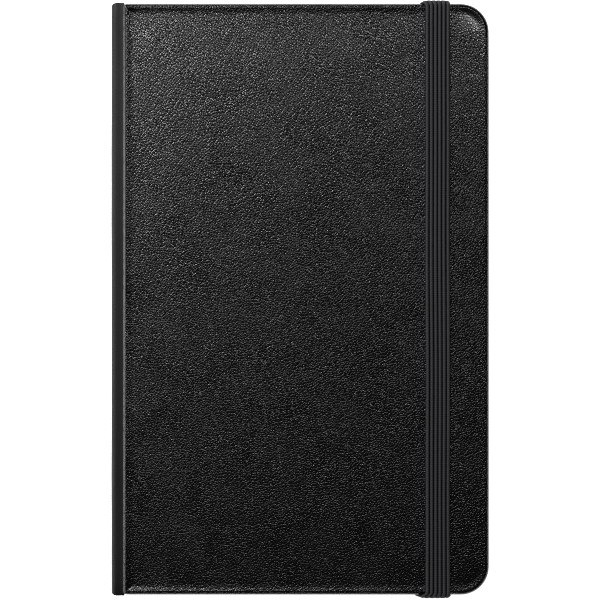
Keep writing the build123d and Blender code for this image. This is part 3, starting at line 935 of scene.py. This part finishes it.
def bandTail(name, side, flare, slip, node):
    # Flush in the channel under the back cover, from the edge to its slit, then up through the board.
    thick = bandShape["tailThick"] * mm
    slitY = headY - bandShape["slitIn"] * mm
    straight = np.linspace(headY, slitY + 0.3 * mm, 22)
    turn = np.radians(np.linspace(0, 90, 7))[1:]
    bendY = slitY + 0.3 * mm - 0.6 * mm * np.sin(turn)
    bendZ = 0.6 * mm + 0.6 * mm * (1 - np.cos(turn))
    rise = np.linspace(1.3 * mm, anchorTop - 0.1 * mm, 4)
    y = side * np.concatenate([straight, bendY, np.full(4, slitY - 0.3 * mm)])
    z = np.concatenate([np.full(22, 0.6 * mm), bendZ, rise])
    turnNormal = np.stack([-side * np.sin(turn), -np.cos(turn)], -1)
    down, inwards = np.tile([0.0, -1.0], (22, 1)), np.tile([-float(side), 0.0], (4, 1))
    normals = np.concatenate([down, turnNormal, inwards])
    path = np.stack([y, z], -1)
    away = smoothRamp(np.concatenate([[0], np.cumsum(np.hypot(*np.diff(path, axis=0).T))]), 0, 6 * mm)
    widths, slips = bandWide + mm * flare * (1 - away), mm * slip * (1 - away * 0.6)
    piece = ribbedStrip(name, path, normals, widths, slips, thick, 0.1, 0.4 * (1 - away))
    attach(piece, "back_cover")
    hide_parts(node)


bandAcross()
bandTurn("elasticTurnHead", 1, bandShape["flareHead"], bandShape["slipHead"], "elastic_turn_head")
bandTurn("elasticTurnTail", -1, bandShape["flareTail"], bandShape["slipTail"], "elastic_turn_tail")
bandTail("elasticTailHead", 1, bandShape["flareHead"], bandShape["slipHead"], "elastic_anchor_head")
bandTail("elasticTailTail", -1, bandShape["flareTail"], bandShape["slipTail"], "elastic_anchor_tail")
print("elastic made")

# CAD pieces that keep their shape.
keptPieces = {"front_board": boardCard, "back_board": boardCard, "spine_liner": boardCard, "mull": gauze}
for node, material in keptPieces.items():
    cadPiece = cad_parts[node]
    cadPiece.data.materials.clear()
    cadPiece.data.materials.append(material)
print("boards and gauze finished")

# Floor, lights and camera.
studio = {
    "floorColour": (0.92, 0.92, 0.92, 1),
    "floorGlow": 0.95,
    "skyStrength": 0.03,
    "horizonStrength": 0.3,
    "viewWide": 141.8775,  # mm seen across at the cover's face
    "viewShift": -0.18,  # mm from the middle of the cover to the middle of the view, along Y
    "lens": 100.0,
    "sensor": 36.0,
}
lights = {  # place and aim in metres, power in watts, size both ways in metres
    "keyLight": ((-0.3, 0.36, 0.42), (0, 0, 0.015), 2.8, 0.25, 0.1),
    "headLight": ((-0.04, 0.2, 0.6), (0, 0.05, 0.015), 0.4, 0.34, 0.04),
    "cornerLight": ((0.115, 0.2, 0.61), (0.04, 0.065, 0.015), 0.28, 0.06, 0.06),
    "spineCornerLight": ((-0.115, 0.2, 0.61), (-0.04, 0.065, 0.015), 0.1, 0.05, 0.05),
    "leftLight": ((-0.4, 0.0, 0.14), (-0.04, 0, 0.05), 1.0, 0.25, 0.5),
}


def makeFloor():
    # A flat sheet at Z = 0, far larger than the view. Its glow keeps it even and pale.
    mesh = bpy.data.meshes.new("floor")
    size = 3.0
    corners = [(-size, -size, 0), (size, -size, 0), (size, size, 0), (-size, size, 0)]
    mesh.from_pydata(corners, [], [(0, 1, 2, 3)])
    material, tree, shader = startMaterial("floorPaper")
    shader.inputs["Base Color"].default_value = studio["floorColour"]
    shader.inputs["Roughness"].default_value = 0.9
    shader.inputs["Emission Color"].default_value = (1, 1, 1, 1)
    shader.inputs["Emission Strength"].default_value = studio["floorGlow"]
    material.cycles.emission_sampling = "NONE"  # sampled as a light, so large a sheet only adds noise
    mesh.materials.append(material)
    floor = bpy.data.objects.new("floor", mesh)
    bpy.context.scene.collection.objects.link(floor)


def areaLight(name, place, target, power, size, sizeY):
    # A soft light at place, turned to its target, and unseen by the camera itself.
    data = bpy.data.lights.new(name, "AREA")
    data.energy = power
    data.shape = "RECTANGLE"
    data.size, data.size_y = size, sizeY
    light = bpy.data.objects.new(name, data)
    light.location = place
    aim = Vector(target) - Vector(place)
    light.rotation_mode = "QUATERNION"
    light.rotation_quaternion = aim.to_track_quat("-Z", "Y")
    light.visible_camera = False
    bpy.context.scene.collection.objects.link(light)


makeFloor()
for lightName, values in lights.items():
    areaLight(lightName, *values)
# a dim sky with a brighter horizon; the camera itself sees it white
world = bpy.data.worlds.new("studioWorld")
world.use_nodes = True
sky = world.node_tree
toward = sky.nodes.new("ShaderNodeSeparateXYZ")
sky.links.new(sky.nodes.new("ShaderNodeTexCoord").outputs["Generated"], toward.inputs[0])
glow = rangeNode(sky, toward.outputs[2], 0.02, 0.3, studio["horizonStrength"], studio["skyStrength"])
seen = sky.nodes.new("ShaderNodeLightPath").outputs["Is Camera Ray"]
sky.links.new(mathNode(sky, "MAXIMUM", glow, seen), sky.nodes["Background"].inputs["Strength"])
sky.nodes["Background"].inputs["Color"].default_value = (1, 1, 1, 1)
bpy.context.scene.world = world
bpy.context.scene.view_settings.view_transform = "Standard"
bpy.context.scene.cycles.use_denoising = False  # smoothing would wipe out the fine grain
bpy.context.scene.cycles.filter_width = 1.0

# straight above the cover
cameraData = bpy.data.cameras.new("camera")
cameraData.lens = studio["lens"]
cameraData.sensor_width = studio["sensor"]
camera = bpy.data.objects.new("camera", cameraData)
distance = studio["viewWide"] * mm * studio["lens"] / studio["sensor"]
camera.location = (0.0, studio["viewShift"] * mm, topZ + distance)
camera.rotation_euler = (0, 0, 0)
cameraData.clip_start, cameraData.clip_end = 0.01, 10
bpy.context.scene.collection.objects.link(camera)
bpy.context.scene.camera = camera
print("stage set")
